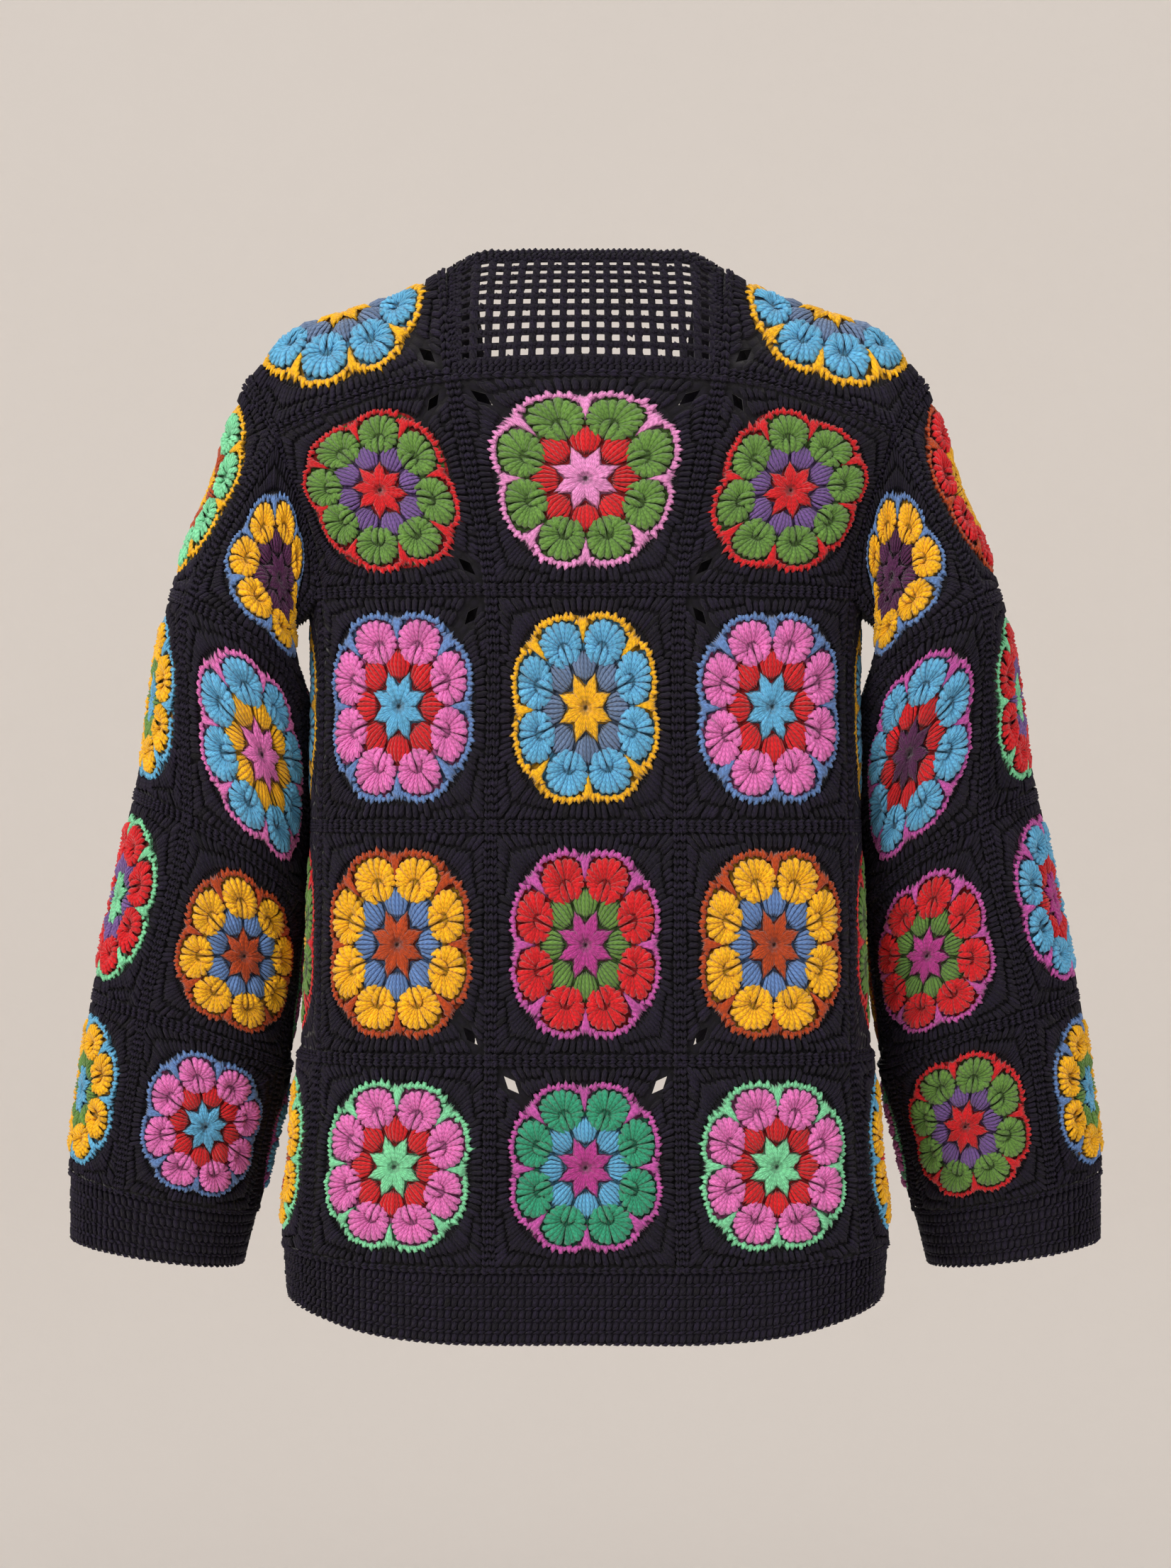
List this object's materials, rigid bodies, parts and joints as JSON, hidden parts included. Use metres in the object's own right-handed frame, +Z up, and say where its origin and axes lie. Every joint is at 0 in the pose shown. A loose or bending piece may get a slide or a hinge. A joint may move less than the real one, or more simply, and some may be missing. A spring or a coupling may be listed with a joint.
{
  "type": "crochet cardigan, worn open and hollow with no wearer",
  "caption": "Open crochet cardigan of flower squares joined with black yarn, hollow as worn, with long sleeves, a net yoke at the back of the neck, and plain hem, cuffs and front bands.",
  "frame": {"origin": "on the centre line, level with the top of the back neck, where the wearer's shoulders hold it up", "axes": "+Z up, the open front faces -Y and the back +Y, the garment's left side is +X"},
  "size_m": [0.6684, 0.2423, 0.6755],
  "materials": {
    "flower_squares": "matt black yarn, with many-coloured flowers worked into it",
    "black_net": "matt black yarn, open net",
    "black_bands": "matt black yarn, plain rows"
  },
  "bodies": {
    "root": {"back": "flower_squares", "side_left": "flower_squares", "side_right": "flower_squares", "front_left": "flower_squares", "front_right": "flower_squares", "shoulder_left": "flower_squares", "shoulder_right": "flower_squares", "sleeve_upper_left": "flower_squares", "sleeve_lower_left": "flower_squares", "sleeve_upper_right": "flower_squares", "sleeve_lower_right": "flower_squares", "neck_yoke": "black_net", "hem_band": "black_bands", "cuff_left": "black_bands", "cuff_right": "black_bands", "front_band_left": "black_bands", "front_band_right": "black_bands"}
  },
  "joints": []
}
